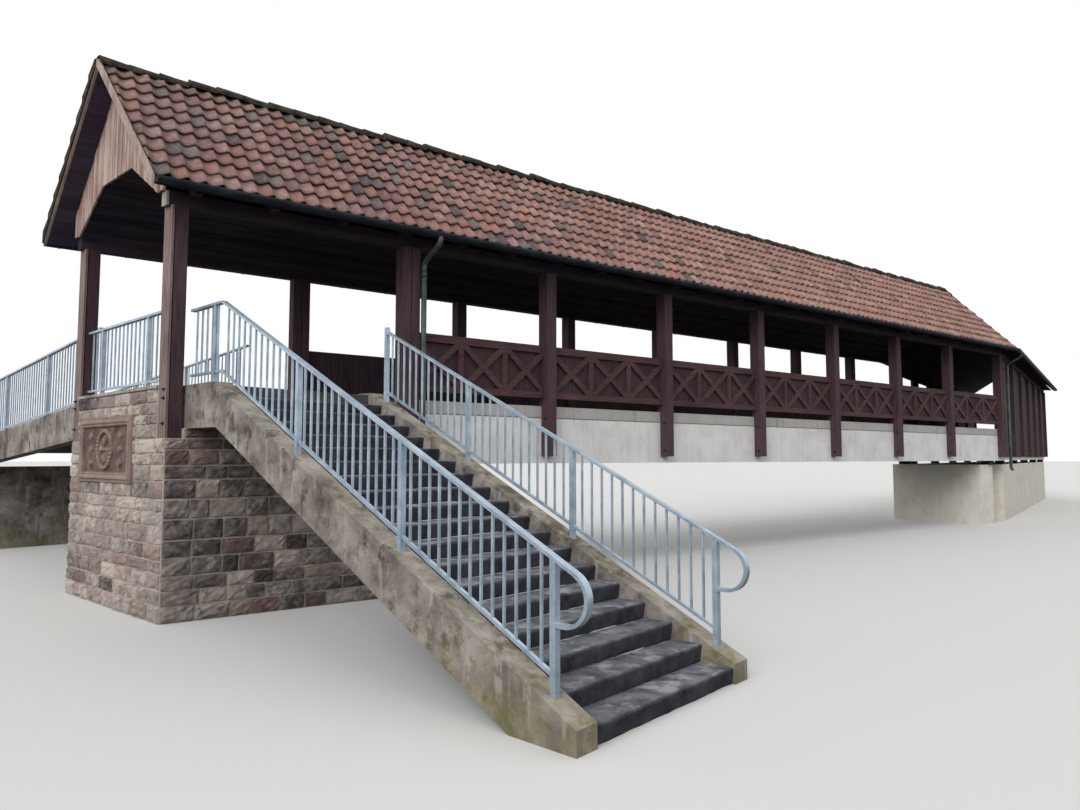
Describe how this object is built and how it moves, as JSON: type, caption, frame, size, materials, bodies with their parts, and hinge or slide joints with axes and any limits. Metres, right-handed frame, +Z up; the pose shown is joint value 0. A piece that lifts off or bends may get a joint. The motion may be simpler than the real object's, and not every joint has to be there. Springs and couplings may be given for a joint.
{
  "type": "covered footbridge",
  "caption": "Covered timber footbridge on concrete beams, with a tiled gable roof, crossed-bar railings, a stone abutment, a steel-railed side stair and a side ramp.",
  "frame": {"origin": "on the ground under the middle of the west gable, in the face of the abutment wall", "axes": "+X along the first straight run away from the gable, +Y to the ramp side, +Z up; the stair comes down on the -Y side"},
  "size_m": [39.4483, 16.1691, 6.992],
  "materials": {
    "masonry": "squared sandstone blocks with pale joints",
    "coping_stone": "honed stone slabs, weathered",
    "relief_stone": "red sandstone, carved",
    "concrete_light": "cast concrete with a light wash, stained",
    "concrete_grey": "cast concrete, weathered",
    "tread_stone": "dark split stone with pale nosings",
    "walking_surface": "cast concrete slab",
    "galvanised_steel": "galvanised, dull",
    "post_timber": "stained dark brown",
    "rail_timber": "stained dark brown",
    "board_timber": "stained dark brown boarding",
    "ceiling_timber": "dark boarding",
    "gable_timber": "greyed brown boarding",
    "verge_timber": "greyed boards",
    "roof_tile": "clay pantiles",
    "ridge_tile": "clay ridge tiles, weathered",
    "gutter_metal": "dark green paint",
    "pipe_metal": "grey paint",
    "bearing_rubber": "black bearing blocks"
  },
  "bodies": {
    "root": {"abutment_wall": "masonry", "abutment_coping": "coping_stone", "relief_plaque": "relief_stone", "platform_slab": "walking_surface", "stair_cheek_west": "concrete_grey", "stair_cheek_east": "concrete_grey", "stair_landing": "walking_surface", "stair_steps_odd": "tread_stone", "stair_steps_even": "tread_stone", "stair_rail_west": "galvanised_steel", "stair_rail_east": "galvanised_steel", "gable_rail": "galvanised_steel", "ramp_slab": "walking_surface", "ramp_beams": "concrete_grey", "ramp_pier": "concrete_grey", "ramp_rail_west": "galvanised_steel", "ramp_rail_east": "galvanised_steel", "bridge_beams": "concrete_light", "bridge_deck": "walking_surface", "gable_posts": "post_timber", "pair_posts": "post_timber", "posts_south": "post_timber", "posts_north": "post_timber", "bend_posts": "post_timber", "far_posts": "post_timber", "railing_south": "rail_timber", "railing_north": "rail_timber", "railing_boards": "board_timber", "purlins": "post_timber", "ceiling": "ceiling_timber", "gable_boards": "gable_timber", "barge_boards": "verge_timber", "roof_south": "roof_tile", "roof_north": "roof_tile", "far_roof_south": "roof_tile", "far_roof_north": "roof_tile", "rafters": "post_timber", "ridge_cap": "ridge_tile", "gutters": "gutter_metal", "downpipes": "pipe_metal", "far_wall_south": "board_timber", "far_wall_north": "board_timber", "far_abutment": "concrete_light", "bend_pier": "concrete_light", "bearings": "bearing_rubber"}
  },
  "joints": []
}
